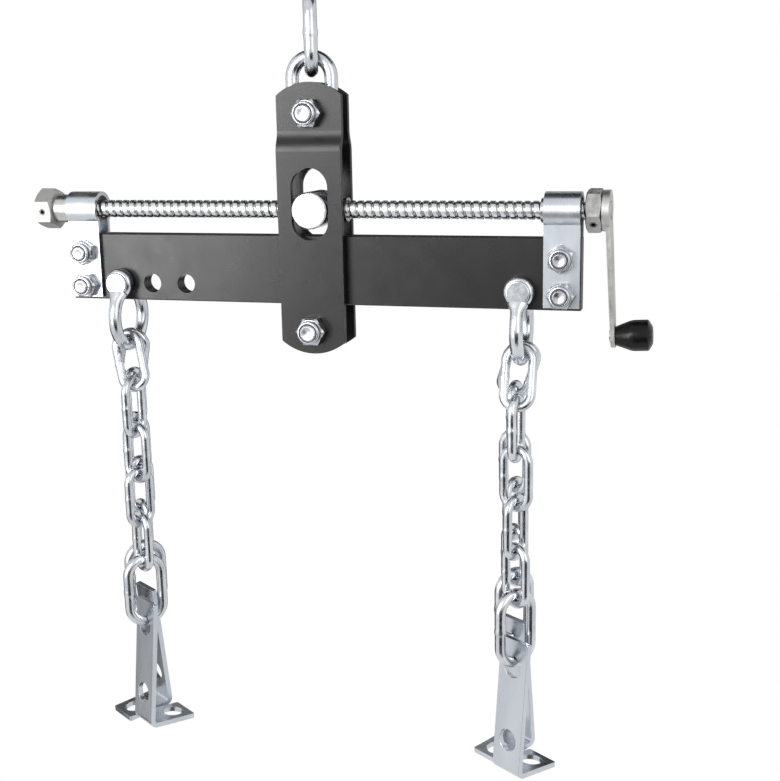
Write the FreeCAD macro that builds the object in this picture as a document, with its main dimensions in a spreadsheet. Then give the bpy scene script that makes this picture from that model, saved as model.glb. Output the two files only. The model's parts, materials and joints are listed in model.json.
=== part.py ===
import FreeCAD, Part
import Sketcher
import math
import os
from types import SimpleNamespace

# Engine load leveler: a flat bar under a crane link, shifted sideways by a cranked screw.
# X runs along the bar towards the crank, Y away from the side with the nuts, Z up.
# The origin is the seat of the crane hook, the inner top of the upper link.
# Lengths are in millimetres and angles in degrees.

SIZES = {
    # links under the crane hook
    "hook_link_wire": 9.5,
    "hook_link_inner_length": 40.4,
    "hook_link_inner_width": 19.7,
    "upper_link_turn": 20,
    "seat_gap": 0.2,
    # hanger plates, wider apart below their joggle
    "plate_width": 48.5,
    "plate_thickness": 4,
    "plate_end_radius": 37,
    "plate_gap_top": 10.2,
    "plate_gap_bottom": 18.2,
    "joggle_below_bolt": 16.2,
    "joggle_height": 7.8,
    "top_bolt_to_screw": 67.75,
    "screw_to_bottom_bolt": 86.5,
    "plate_above_top_bolt": 21.5,
    "plate_below_bottom_bolt": 17,
    "slot_above_screw": 30,
    "slot_below_screw": 21.3,
    # hanger bolts and the roller on the lower one
    "hanger_bolt_diameter": 12,
    "hanger_hex_flats": 19,
    "hanger_head_height": 7.5,
    "hanger_nut_hex_height": 8,
    "hanger_nut_height": 12,
    "thread_proud": 1.2,
    "bolt_hole_gap": 0.1,
    "thread_gap": 0.05,
    "roller_diameter": 30,
    "roller_side_gap": 0.3,
    "running_gap": 0.1,
    # cross nut in the slots
    "trunnion_diameter": 26.4,
    "trunnion_slot_gap": 0.5,
    "trunnion_proud": 2.6,
    "trunnion_chamfer": 1,
    "nut_sleeve_diameter": 17,
    "nut_sleeve_length": 50,
    "nut_station": 2.25,
    # bar
    "bar_length": 389.5,
    "bar_height": 50,
    "bar_thickness": 12,
    "bar_chamfer": 0.8,
    "screw_to_bar": 18.25,
    "pin_from_end": 41.75,
    "pin_height": 13,
    # open holes beside the left pin, measured from it
    "outer_spare_hole": 24.8,
    "inner_spare_hole": 52.6,
    # straps over the screw
    "strap_width": 25,
    "strap_thickness": 3,
    "strap_loop_inner": 19.6,
    "strap_end_inset": 0.5,
    "strap_above_bar_edge": 2,
    "strap_bolt_spacing": 25,
    "strap_bolt_height": 11,
    "strap_bolt_diameter": 10,
    "strap_hex_flats": 17,
    "strap_head_height": 6.4,
    "strap_nut_hex_height": 6.5,
    "strap_nut_height": 10,
    "bush_length": 18,
    "bush_fit_gap": 0.05,
    # screw and what is pinned to its ends
    "screw_diameter": 13,
    "end_play": 0.3,
    "collar_diameter": 21,
    "collar_length": 11.9,
    "end_hex_flats": 27,
    "end_nut_length": 14,
    "washer_diameter": 17,
    "washer_thickness": 2.3,
    "hub_gap": 3.35,
    "hub_length": 11,
    "roll_pin_diameter": 5,
    "roll_pin_bore": 3,
    "roll_pin_fit_gap": 0.03,
    "left_hex_turn": 8,
    "right_hex_turn": 41,
    # crank
    "crank_eye_diameter": 28,
    "crank_eye_thickness": 5,
    "crank_arm_thickness": 3.2,
    "crank_arm_root_width": 20,
    "crank_arm_tip_width": 12,
    "crank_reach": 85.75,
    "crank_lean": 3.2,
    "crank_below_knob": 8,
    "knob_length": 24.7,
    "knob_diameter": 21.4,
    "knob_neck_diameter": 13.2,
    "knob_taper_length": 11,
    "knob_taper_round": 14,
    "knob_crown_height": 2.6,
    "knob_crown_diameter": 13,
    "knob_crown_round": 2,
    "knob_side_gap": 0.3,
    "knob_pin_diameter": 6,
    "knob_pin_head_diameter": 9,
    "knob_pin_head_height": 0.8,
    "knob_bore_depth": 20,
    "knob_pin_end_gap": 0.5,
    # shackles
    "shackle_wire": 9.5,
    "bow_radius": 22,
    "pin_to_bow": 26.5,
    "shackle_eye_diameter": 21.5,
    "shackle_eye_length": 9.4,
    "shackle_eye_chamfer": 1.4,
    "shackle_eye_gap": 0.4,
    "shackle_pin_diameter": 14,
    "shackle_pin_head_diameter": 17,
    "shackle_pin_head_height": 2,
    "shackle_pin_chamfer": 0.6,
    # chains
    "chain_wire": 6.5,
    "chain_inner_length": 36.5,
    "chain_inner_width": 13,
    "end_link_wire": 8,
    "end_link_inner_length": 44.5,
    "end_link_inner_width": 19,
    "left_chain_spacing": 30,
    "left_front_chain_shift": 7.5,
    "left_rear_chain_shift": -7.5,
    "right_chain_spacing": 38,
    "right_front_chain_shift": 0,
    "right_rear_chain_shift": -8,
    "chain_twist": -8.5,
    # brackets
    "bracket_width": 27,
    "bracket_thickness": 4,
    "bracket_height": 103.5,
    "bracket_foot": 40,
    "bracket_bend_radius": 2,
    "bracket_corner_round": 1.2,
    "bracket_link_hole": 16.5,
    "bracket_link_hole_drop": 20.35,
    "bracket_hang_gap": 0.5,
    "bracket_plate_hole": 16.5,
    "bracket_plate_hole_height": 26.5,
    "bracket_foot_hole": 16.5,
    "bracket_foot_hole_reach": 27.5,
    "bracket_yaw": 56,
    "bracket_lean": 5.2,
}
LINKS_PER_CHAIN = 6
HEX_FACE_SHARE = 0.95
NUT_COLLAR_SHARE = 0.9
CHAMFER_SLOPE = math.tan(math.radians(30))

doc = FreeCAD.newDocument("load_leveler")
sheet = doc.addObject("Spreadsheet::Sheet", "sizes")
for row, (alias, value) in enumerate(SIZES.items(), start=1):
    sheet.set(f"A{row}", alias)
    sheet.set(f"B{row}", str(value))
    sheet.setAlias(f"B{row}", alias)
doc.recompute()
v = SimpleNamespace(**{alias: sheet.get(alias) for alias in SIZES})

X = FreeCAD.Vector(1, 0, 0)
Y = FreeCAD.Vector(0, 1, 0)
Z = FreeCAD.Vector(0, 0, 1)
ALONG_X = FreeCAD.Rotation(Y, 90)
ALONG_Y = FreeCAD.Rotation(X, -90)
TO_FRONT = FreeCAD.Rotation(X, 90)
nodes = []


# Building helpers


def value_of(expression):
    """Number that a sheet expression gives."""
    return float(sheet.evalExpression(expression))


def place(x=0, y=0, z=0, rotation=FreeCAD.Rotation()):
    return FreeCAD.Placement(FreeCAD.Vector(x, y, z), rotation)


def node(obj, placement=None):
    """Register a finished piece under its own name."""
    obj.Label = obj.Name
    if placement is not None:
        obj.Placement = placement
    nodes.append(obj)
    return obj


def bound(kind, name, placement, **expressions):
    """A primitive whose sizes follow the sheet."""
    obj = doc.addObject(kind, name)
    for size, expression in expressions.items():
        obj.setExpression(size, expression)
    obj.Placement = placement
    return obj


def cylinder(name, diameter, length, placement):
    return bound("Part::Cylinder", name, placement, Radius=f"({diameter}) / 2", Height=length)


def box(name, length, width, height, placement):
    return bound("Part::Box", name, placement, Length=length, Width=width, Height=height)


def fuse(name, *pieces):
    obj = doc.addObject("Part::MultiFuse", name)
    obj.Shapes = list(pieces)
    obj.Refine = True
    return obj


def common(name, *pieces):
    obj = doc.addObject("Part::MultiCommon", name)
    obj.Shapes = list(pieces)
    return obj


def cut(name, base, *tools):
    obj = doc.addObject("Part::Cut", name)
    obj.Base = base
    obj.Tool = tools[0] if len(tools) == 1 else fuse(name + "_tools", *tools)
    return obj


def group(name, members):
    """One node that holds several separate solids."""
    obj = doc.addObject("Part::Compound", name)
    obj.Links = members
    return node(obj)


def plane_sketch(body, role):
    sketch = body.newObject("Sketcher::SketchObject", body.Name + "_sketch")
    plane = next(item for item in body.Origin.OriginFeatures if item.Role == role)
    sketch.AttachmentSupport = [(plane, "")]
    sketch.MapMode = "FlatFace"
    return sketch


def tie(sketch, kind, *places, expression):
    """Dimension between sketch points that follows a sheet expression."""
    index = sketch.addConstraint(Sketcher.Constraint(kind, *places, value_of(expression)))
    sketch.setExpression(f"Constraints[{index}]", expression)


def tie_point(sketch, geometry, vertex, across, up):
    """Hold a sketch point at two sheet expressions from the origin."""
    for kind, axis, expression in (("DistanceX", -2, across), ("DistanceY", -1, up)):
        if expression == "0":
            sketch.addConstraint(Sketcher.Constraint("PointOnObject", geometry, vertex, axis))
        else:
            tie(sketch, kind, -1, 1, geometry, vertex, expression=expression)


def polygon(sketch, points):
    """Closed outline whose corners are pairs of sheet expressions."""
    corners = [FreeCAD.Vector(value_of(across), value_of(up), 0) for across, up in points]
    count = len(corners)
    for i in range(count):
        sketch.addGeometry(Part.LineSegment(corners[i], corners[(i + 1) % count]))
    for i in range(count):
        sketch.addConstraint(Sketcher.Constraint("Coincident", i, 2, (i + 1) % count, 1))
    for i, (across, up) in enumerate(points):
        tie_point(sketch, i, 1, across, up)


def pad_sketch(body, sketch, length):
    """Pad a sketch evenly to both sides of its plane."""
    pad = body.newObject("PartDesign::Pad", body.Name + "_pad")
    pad.Profile = sketch
    pad.SideType = "Symmetric"
    pad.setExpression("Length", length)
    return pad


def padded(name, role, points, length):
    body = doc.addObject("PartDesign::Body", name)
    sketch = plane_sketch(body, role)
    polygon(sketch, points)
    pad_sketch(body, sketch, length)
    return body


def turned(name, points):
    """A body turned about Z from a half profile of (radius, height) expressions."""
    body = doc.addObject("PartDesign::Body", name)
    sketch = plane_sketch(body, "XZ_Plane")
    polygon(sketch, points)
    revolution = body.newObject("PartDesign::Revolution", name + "_turn")
    revolution.Profile = sketch
    revolution.ReferenceAxis = (sketch, ["V_Axis"])
    revolution.Angle = 360
    return body


def rounded(body, name, radius, test):
    """Fillet the edges of a body's tip whose middle passes a test."""
    doc.recompute()
    tip = body.Tip
    edges = [f"Edge{i}" for i, edge in enumerate(tip.Shape.Edges, start=1) if test(edge)]
    fillet = body.newObject("PartDesign::Fillet", f"{body.Name}_{name}")
    fillet.Base = (tip, edges)
    fillet.setExpression("Radius", radius)
    return fillet


def tube(name, outer, inner, length, placement):
    """A plain ring or bush."""
    outside = cylinder(name + "_outside", outer, length, place())
    inside = cylinder(name + "_bore", inner, length, place())
    return node(cut(name, outside, inside), placement)


# Fasteners: seat at Z 0, head below it, shank and nut above it


def hex_blank(name, flats, low, high, chamfer_low, chamfer_high):
    """Hexagon from one height to another, with turned 30 degree corners where asked."""
    corner = f"{flats} / sqrt(3)"
    face = f"{flats} / 2 * {HEX_FACE_SHARE}"
    drop = f"({corner} - {face}) * {CHAMFER_SLOPE}"
    height = f"{high} - ({low})"
    profile = [("0", low)]
    profile += [(face, low), (corner, f"{low} + {drop}")] if chamfer_low else [(corner, low)]
    profile += [(corner, f"{high} - {drop}"), (face, high)] if chamfer_high else [(corner, high)]
    profile += [("0", high)]
    at_low = place(z=value_of(low))
    prism = bound("Part::Prism", name + "_prism", at_low, Circumradius=corner, Height=height)
    prism.Polygon = 6
    return common(name, prism, turned(name + "_envelope", profile))


def bolt(name, diameter, flats, head, length, placement):
    blank = hex_blank(name + "_head", flats, f"-{head}", "0", True, False)
    radius = f"{diameter} / 2"
    tip = f"{diameter} / 12"
    profile = [
        ("0", f"-{head} / 2"),
        (radius, f"-{head} / 2"),
        (radius, f"{length} - {tip}"),
        (f"{radius} - {tip}", length),
        ("0", length),
    ]
    whole = fuse(name, blank, turned(name + "_shank", profile))
    whole.Placement = placement
    return whole


def lock_nut(name, diameter, flats, hex_height, height, placement):
    """Hexagon nut with a domed locking collar."""
    blank = hex_blank(name + "_hex", flats, "0", hex_height, True, True)
    collar = f"{flats} / 2 * {NUT_COLLAR_SHARE}"
    bore = f"{diameter} + 2 * sizes.thread_gap"
    lip = f"({height} - {hex_height}) / 2"
    profile = [
        ("0", f"{hex_height} / 2"),
        (collar, f"{hex_height} / 2"),
        (collar, f"{height} - {lip}"),
        (f"{collar} - {lip} / 2", height),
        ("0", height),
    ]
    whole = fuse(name + "_blank", blank, turned(name + "_collar", profile))
    finished = cut(name, whole, cylinder(name + "_bore", bore, height, place()))
    finished.Placement = placement
    return finished


# Heights down the load line, with the bar hanging level


hook_pitch = v.hook_link_inner_length + v.hook_link_wire
upper_link_z = -v.hook_link_inner_length / 2
lifting_top_z = upper_link_z - hook_pitch / 2 + v.hook_link_wire + v.seat_gap
lifting_link_z = lifting_top_z - hook_pitch / 2
lifting_seat_z = lifting_link_z - v.hook_link_inner_length / 2
top_bolt_z = lifting_seat_z + v.hanger_bolt_diameter / 2 + v.seat_gap
screw_z = top_bolt_z - v.top_bolt_to_screw
bottom_bolt_z = screw_z - v.screw_to_bottom_bolt
bar_top_z = screw_z - v.screw_to_bar
bar_z = bar_top_z - v.bar_height
pin_z = bar_z + v.pin_height
bow_z = pin_z - v.pin_to_bow
bar_x = -v.nut_station
SIDES = (("left", -1), ("right", 1))
FACES = (("front", -1), ("rear", 1))


# Links


def link(name, wire, inner_length, inner_width, placement):
    """Welded link standing in the XZ plane: two half rings and two straight legs."""
    bend = f"({inner_width} + {wire}) / 2"
    straight = f"{inner_length} - {inner_width}"
    half = value_of(straight) / 2
    pieces = []
    for end, degrees in (("top", 90), ("bottom", -90)):
        at_end = place(z=math.copysign(half, degrees), rotation=FreeCAD.Rotation(X, degrees))
        ring = bound("Part::Torus", f"{name}_{end}", at_end, Radius1=bend, Radius2=f"{wire} / 2")
        ring.Angle3 = 180
        pieces.append(ring)
    for side, sign in SIDES:
        at_side = place(x=sign * value_of(bend), z=-half)
        pieces.append(cylinder(f"{name}_{side}_leg", wire, straight, at_side))
    return node(fuse(name, *pieces), placement)


HOOK_LINK = ("sizes.hook_link_wire", "sizes.hook_link_inner_length", "sizes.hook_link_inner_width")
CHAIN_LINK = ("sizes.chain_wire", "sizes.chain_inner_length", "sizes.chain_inner_width")
END_LINK = ("sizes.end_link_wire", "sizes.end_link_inner_length", "sizes.end_link_inner_width")
link("upper_link", *HOOK_LINK, place(z=upper_link_z, rotation=FreeCAD.Rotation(Z, 90 + v.upper_link_turn)))
link("lifting_link", *HOOK_LINK, place(z=lifting_link_z))


# Hanger


def plate_face(name):
    """Plate seen from the front: straight sides and round ends, about the screw."""
    half = "sizes.plate_width / 2"
    top = "sizes.top_bolt_to_screw + sizes.plate_above_top_bolt"
    bottom = "-sizes.screw_to_bottom_bolt - sizes.plate_below_bottom_bolt"
    radius = value_of("sizes.plate_end_radius")
    body = doc.addObject("PartDesign::Body", name)
    sketch = plane_sketch(body, "XZ_Plane")
    reach = math.degrees(math.acos(v.plate_width / 2 / radius))
    ends = (
        (f"{top} - sizes.plate_end_radius", reach, 180 - reach),
        (f"{bottom} + sizes.plate_end_radius", 180 + reach, 360 - reach),
    )
    rise = radius * math.sin(math.radians(reach))
    centres = [value_of(height) for height, start, stop in ends]
    for (height, start, stop), centre in zip(ends, centres):
        circle = Part.Circle(FreeCAD.Vector(0, centre, 0), Z, radius)
        arc = Part.ArcOfCircle(circle, math.radians(start), math.radians(stop))
        index = sketch.addGeometry(arc)
        tie(sketch, "Radius", index, expression="sizes.plate_end_radius")
        tie_point(sketch, index, 3, "0", height)
    for sign in (-1, 1):
        across = sign * v.plate_width / 2
        low = FreeCAD.Vector(across, centres[1] - rise, 0)
        high = FreeCAD.Vector(across, centres[0] + rise, 0)
        index = sketch.addGeometry(Part.LineSegment(low, high))
        sketch.addConstraint(Sketcher.Constraint("Vertical", index))
        tie(sketch, "DistanceX", -1, 1, index, 1, expression=f"{sign} * {half}")
    TOP_ARC, BOTTOM_ARC, LEFT_SIDE, RIGHT_SIDE = range(4)
    joins = (
        (TOP_ARC, 1, RIGHT_SIDE, 2),
        (TOP_ARC, 2, LEFT_SIDE, 2),
        (BOTTOM_ARC, 1, LEFT_SIDE, 1),
        (BOTTOM_ARC, 2, RIGHT_SIDE, 1),
    )
    for join in joins:
        sketch.addConstraint(Sketcher.Constraint("Coincident", *join))
    pad_sketch(body, sketch, "sizes.plate_gap_bottom + 4 * sizes.plate_thickness")
    return body


def joggled_sheet(name, sign):
    """Plate seen from the side: an even sheet that steps outwards below the top bolt."""
    near = f"{sign} * sizes.plate_gap_top / 2"
    far = f"{sign} * sizes.plate_gap_bottom / 2"
    sheet_step = f"{sign} * sizes.plate_thickness"
    top = "sizes.top_bolt_to_screw + sizes.plate_above_top_bolt"
    bottom = "-sizes.screw_to_bottom_bolt - sizes.plate_below_bottom_bolt"
    start = "sizes.top_bolt_to_screw - sizes.joggle_below_bolt"
    stop = f"{start} - sizes.joggle_height"
    step = "(sizes.plate_gap_bottom - sizes.plate_gap_top) / 2"
    lift = f"sizes.plate_thickness * tan(atan({step} / sizes.joggle_height) / 2)"
    points = [
        (near, top),
        (near, start),
        (far, stop),
        (far, bottom),
        (f"{far} + {sheet_step}", bottom),
        (f"{far} + {sheet_step}", f"{stop} + {lift}"),
        (f"{near} + {sheet_step}", f"{start} + {lift}"),
        (f"{near} + {sheet_step}", top),
    ]
    return padded(name, "YZ_Plane", points, "2 * sizes.plate_width")


def across_plates(name, diameter, height):
    """Cutter along Y through both plates, at a height above the screw."""
    length = "sizes.plate_gap_bottom + 4 * sizes.plate_thickness"
    at_front = place(y=-value_of(length) / 2, z=height, rotation=ALONG_Y)
    return cylinder(name, diameter, length, at_front)


def hanger_plate(name, sign):
    slot_width = "sizes.trunnion_diameter + 2 * sizes.trunnion_slot_gap"
    slot_depth = "sizes.plate_gap_bottom + 4 * sizes.plate_thickness"
    straight = f"sizes.slot_above_screw + sizes.slot_below_screw - ({slot_width})"
    half_slot = value_of(slot_width) / 2
    slot_low = half_slot - v.slot_below_screw
    slot_high = v.slot_above_screw - half_slot
    at_slot = place(x=-half_slot, y=-value_of(slot_depth) / 2, z=slot_low)
    hole = "sizes.hanger_bolt_diameter + 2 * sizes.bolt_hole_gap"
    outline = common(name + "_outline", plate_face(name + "_face"), joggled_sheet(name + "_sheet", sign))
    plate = cut(
        name,
        outline,
        box(name + "_slot", slot_width, slot_depth, straight, at_slot),
        across_plates(name + "_slot_low", slot_width, slot_low),
        across_plates(name + "_slot_high", slot_width, slot_high),
        across_plates(name + "_top_hole", hole, v.top_bolt_to_screw),
        across_plates(name + "_bottom_hole", hole, -v.screw_to_bottom_bolt),
    )
    return node(plate, place(z=screw_z))


def hanger_fastening(end, gap, height):
    """Bolt from the rear through both plates, with its nut in front."""
    outer = value_of(f"{gap} / 2 + sizes.plate_thickness")
    length = f"{gap} + 2 * sizes.plate_thickness + sizes.hanger_nut_height + sizes.thread_proud"
    node(bolt(
        f"hanger_{end}_bolt",
        "sizes.hanger_bolt_diameter",
        "sizes.hanger_hex_flats",
        "sizes.hanger_head_height",
        length,
        place(y=outer, z=height, rotation=TO_FRONT),
    ))
    node(lock_nut(
        f"hanger_{end}_nut",
        "sizes.hanger_bolt_diameter",
        "sizes.hanger_hex_flats",
        "sizes.hanger_nut_hex_height",
        "sizes.hanger_nut_height",
        place(y=-outer, z=height, rotation=TO_FRONT),
    ))


def trunnion_nut(name):
    """Round cross nut that stands in both slots, with a sleeve along the screw."""
    width = "sizes.plate_gap_bottom + 2 * (sizes.plate_thickness + sizes.trunnion_proud)"
    radius = "sizes.trunnion_diameter / 2"
    chamfer = "sizes.trunnion_chamfer"
    profile = [
        ("0", "0"),
        (f"{radius} - {chamfer}", "0"),
        (radius, chamfer),
        (radius, f"{width} - {chamfer}"),
        (f"{radius} - {chamfer}", width),
        ("0", width),
    ]
    barrel = turned(name + "_barrel", profile)
    barrel.Placement = place(y=-value_of(width) / 2, rotation=ALONG_Y)
    sleeve_length = "sizes.nut_sleeve_length"
    at_end = place(x=-v.nut_sleeve_length / 2, rotation=ALONG_X)
    sleeve = cylinder(name + "_sleeve", "sizes.nut_sleeve_diameter", sleeve_length, at_end)
    bore = "sizes.screw_diameter + 2 * sizes.running_gap"
    blank = fuse(name + "_blank", barrel, sleeve)
    node(cut(name, blank, cylinder(name + "_bore", bore, sleeve_length, at_end)), place(z=screw_z))


for face, sign in FACES:
    hanger_plate(f"hanger_plate_{face}", sign)
hanger_fastening("top", "sizes.plate_gap_top", top_bolt_z)
hanger_fastening("bottom", "sizes.plate_gap_bottom", bottom_bolt_z)
roller_length = "sizes.plate_gap_bottom - 2 * sizes.roller_side_gap"
tube(
    "support_roller",
    "sizes.roller_diameter",
    "sizes.hanger_bolt_diameter + 2 * sizes.running_gap",
    roller_length,
    place(y=-value_of(roller_length) / 2, z=bottom_bolt_z, rotation=ALONG_Y),
)
trunnion_nut("trunnion_nut")


# Bar and straps


strap_middle = v.bar_length / 2 - v.strap_end_inset - v.strap_width / 2
strap_outer = v.bar_thickness / 2 + v.strap_thickness
pin_reach = v.bar_length / 2 - v.pin_from_end
BOLT_LEVELS = (v.strap_bolt_height, v.strap_bolt_height + v.strap_bolt_spacing)


def through_bar(name, diameter, x, height):
    """Cutter along Y through the bar and its straps, from the bar's middle and lower edge."""
    length = "2 * (sizes.bar_thickness + 2 * sizes.strap_thickness)"
    at_front = place(x=x, y=-value_of(length) / 2, z=height, rotation=ALONG_Y)
    return cylinder(name, diameter, length, at_front)


def beam_bar(name):
    half = "sizes.bar_thickness / 2"
    height = "sizes.bar_height"
    chamfer = "sizes.bar_chamfer"
    section = [
        (f"-{half} + {chamfer}", "0"),
        (f"{half} - {chamfer}", "0"),
        (half, chamfer),
        (half, f"{height} - {chamfer}"),
        (f"{half} - {chamfer}", height),
        (f"-{half} + {chamfer}", height),
        (f"-{half}", f"{height} - {chamfer}"),
        (f"-{half}", chamfer),
    ]
    blank = padded(name + "_blank", "YZ_Plane", section, "sizes.bar_length")
    pin_hole = "sizes.shackle_pin_diameter + 2 * sizes.running_gap"
    pin_places = (-pin_reach, pin_reach, v.outer_spare_hole - pin_reach, v.inner_spare_hole - pin_reach)
    holes = [through_bar(f"{name}_hole_{i}", pin_hole, x, v.pin_height) for i, x in enumerate(pin_places)]
    bolt_hole = "sizes.strap_bolt_diameter + 2 * sizes.bolt_hole_gap"
    for side, sign in SIDES:
        for level, height in enumerate(BOLT_LEVELS):
            holes.append(through_bar(f"{name}_{side}_{level}", bolt_hole, sign * strap_middle, height))
    node(cut(name, blank, *holes), place(x=bar_x, z=bar_z))


def strap(side, sign):
    """Sheet looped over the screw's bush, with a leg down each face of the bar."""
    name = f"strap_{side}"
    width = "sizes.strap_width"
    screw_height = "sizes.bar_height + sizes.screw_to_bar"
    legs_height = f"{screw_height} - sizes.strap_above_bar_edge"
    legs_thickness = "sizes.bar_thickness + 2 * sizes.strap_thickness"
    loop_outer = "sizes.strap_loop_inner + 2 * sizes.strap_thickness"
    edge = -v.strap_width / 2
    at_screw = place(x=edge, z=value_of(screw_height), rotation=ALONG_X)
    loop = cylinder(name + "_loop", loop_outer, width, at_screw)
    at_legs = place(x=edge, y=-strap_outer, z=v.strap_above_bar_edge)
    legs = box(name + "_legs", width, legs_thickness, legs_height, at_legs)
    bore = cylinder(name + "_bore", "sizes.strap_loop_inner", width, at_screw)
    at_slot = place(x=edge, y=-v.bar_thickness / 2)
    slot = box(name + "_slot", width, "sizes.bar_thickness", screw_height, at_slot)
    bolt_hole = "sizes.strap_bolt_diameter + 2 * sizes.bolt_hole_gap"
    holes = [through_bar(f"{name}_hole_{i}", bolt_hole, 0, height) for i, height in enumerate(BOLT_LEVELS)]
    bent = cut(name, fuse(name + "_blank", loop, legs), bore, slot, *holes)
    node(bent, place(x=bar_x + sign * strap_middle, z=bar_z))


def strap_fastenings():
    grip = "sizes.bar_thickness + 2 * sizes.strap_thickness"
    length = f"{grip} + sizes.strap_nut_height + sizes.thread_proud"
    bolts = []
    nuts = []
    for side, sign in SIDES:
        for level, height in enumerate(BOLT_LEVELS):
            x = bar_x + sign * strap_middle
            z = bar_z + height
            bolts.append(bolt(
                f"strap_bolt_{side}_{level}",
                "sizes.strap_bolt_diameter",
                "sizes.strap_hex_flats",
                "sizes.strap_head_height",
                length,
                place(x=x, y=strap_outer, z=z, rotation=TO_FRONT),
            ))
            nuts.append(lock_nut(
                f"strap_nut_{side}_{level}",
                "sizes.strap_bolt_diameter",
                "sizes.strap_hex_flats",
                "sizes.strap_nut_hex_height",
                "sizes.strap_nut_height",
                place(x=x, y=-strap_outer, z=z, rotation=TO_FRONT * FreeCAD.Rotation(Z, 30 * level)),
            ))
    group("strap_bolts", bolts)
    group("strap_nuts", nuts)


def screw_bushes():
    outer = "sizes.strap_loop_inner - 2 * sizes.bush_fit_gap"
    inner = "sizes.screw_diameter + 2 * sizes.running_gap"
    bushes = []
    for side, sign in SIDES:
        at_strap = place(
            x=bar_x + sign * strap_middle - v.bush_length / 2, z=screw_z, rotation=ALONG_X
        )
        outside = cylinder(f"screw_bush_{side}_outside", outer, "sizes.bush_length", place())
        inside = cylinder(f"screw_bush_{side}_bore", inner, "sizes.bush_length", place())
        bush = cut(f"screw_bush_{side}", outside, inside)
        bush.Placement = at_strap
        bushes.append(bush)
    group("screw_bushes", bushes)


beam_bar("beam_bar")
for side, sign in SIDES:
    strap(side, sign)
strap_fastenings()
screw_bushes()


# Screw and crank


strap_outside = strap_middle + v.strap_width / 2
strap_inside = strap_middle - v.strap_width / 2
collar_x = bar_x - strap_outside - v.end_play - v.collar_length
end_nut_x = collar_x - v.end_nut_length
washer_x = bar_x + strap_inside - v.end_play - v.washer_thickness
hub_x = bar_x + strap_outside + v.hub_gap
eye_x = hub_x + v.hub_length
screw_end_x = eye_x + v.crank_eye_thickness
PINNED = (
    ("left", end_nut_x + v.end_nut_length / 2, v.left_hex_turn),
    ("right", hub_x + v.hub_length / 2, v.right_hex_turn),
)
ON_SCREW = "sizes.screw_diameter + 2 * sizes.thread_gap"
PIN_HOLE = "sizes.roll_pin_diameter + 2 * sizes.roll_pin_fit_gap"


def pin_place(x, degrees):
    """Middle of a roll pin across the screw, its axis turned up from Y."""
    across = FreeCAD.Rotation(X, degrees) * ALONG_Y
    start = across.multVec(FreeCAD.Vector(0, 0, -v.end_hex_flats / 2))
    return FreeCAD.Placement(FreeCAD.Vector(x, start.y, screw_z + start.z), across)


def pin_hole(name, x, degrees):
    return cylinder(name, PIN_HOLE, "sizes.end_hex_flats", pin_place(x, degrees))


def screw_rod(name):
    length = (
        "sizes.bar_length - 2 * sizes.strap_end_inset + sizes.end_play + sizes.collar_length"
        " + sizes.end_nut_length + sizes.hub_gap + sizes.hub_length + sizes.crank_eye_thickness"
    )
    along = place(x=end_nut_x, z=screw_z, rotation=ALONG_X)
    rod = cylinder(name + "_blank", "sizes.screw_diameter", length, along)
    holes = [pin_hole(f"{name}_{side}_hole", x, degrees) for side, x, degrees in PINNED]
    node(cut(name, rod, *holes))


def pinned_hex(name, side, length, x, degrees):
    """Hexagon on the screw's end, cross drilled for its roll pin."""
    blank = hex_blank(name + "_blank", "sizes.end_hex_flats", "0", length, True, True)
    blank.Placement = place(x=x, z=screw_z, rotation=FreeCAD.Rotation(X, degrees) * ALONG_X)
    along = place(x=x, z=screw_z, rotation=ALONG_X)
    bore = cylinder(name + "_bore", ON_SCREW, length, along)
    pin = next(entry for entry in PINNED if entry[0] == side)
    node(cut(name, blank, bore, pin_hole(name + "_pin_hole", pin[1], pin[2])))


def roll_pins():
    pins = []
    for side, x, degrees in PINNED:
        length = "sizes.end_hex_flats"
        outside = cylinder(f"roll_pin_{side}_outside", "sizes.roll_pin_diameter", length, place())
        inside = cylinder(f"roll_pin_{side}_bore", "sizes.roll_pin_bore", length, place())
        pin = cut(f"roll_pin_{side}", outside, inside)
        pin.Placement = pin_place(x, degrees)
        pins.append(pin)
    group("roll_pins", pins)


arm_lean = FreeCAD.Rotation(Y, -v.crank_lean)
knob_out = arm_lean.multVec(X)
arm_down = arm_lean.multVec(-Z)
# the arm's outer face meets the eye's outer face on the screw axis
arm_top = FreeCAD.Vector(screw_end_x, 0, screw_z)
knob_seat = arm_top + arm_down * v.crank_reach
knob_rotation = arm_lean * ALONG_X


def crank_arm(name):
    """Round eye, leaning tapered arm with a round tip, and the hole for the knob's pin."""
    thickness = "sizes.crank_arm_thickness"
    tip_width = "sizes.crank_arm_tip_width"
    root = "sizes.crank_arm_root_width / 2"
    tip = f"{tip_width} / 2"
    drop = f"sizes.crank_reach + sizes.crank_below_knob - {tip}"
    at_eye = place(x=eye_x, z=screw_z, rotation=ALONG_X)
    eye = cylinder(name + "_eye", "sizes.crank_eye_diameter", "sizes.crank_eye_thickness", at_eye)
    outline = [(f"-{root}", "0"), (f"-{tip}", f"-({drop})"), (tip, f"-({drop})"), (root, "0")]
    strip = padded(name + "_strip", "YZ_Plane", outline, thickness)
    strip.Placement = FreeCAD.Placement(arm_top - knob_out * (v.crank_arm_thickness / 2), arm_lean)
    inner_face = arm_top - knob_out * v.crank_arm_thickness
    at_tip = FreeCAD.Placement(inner_face + arm_down * value_of(drop), knob_rotation)
    round_tip = cylinder(name + "_tip", tip_width, thickness, at_tip)
    bore = cylinder(name + "_bore", ON_SCREW, "2 * sizes.crank_eye_thickness", at_eye)
    hole = "sizes.knob_pin_diameter + 2 * sizes.thread_gap"
    at_knob = FreeCAD.Placement(inner_face + arm_down * v.crank_reach, knob_rotation)
    pin_way = cylinder(name + "_pin_hole", hole, thickness, at_knob)
    node(cut(name, fuse(name + "_blank", eye, strip, round_tip), bore, pin_way))


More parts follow.
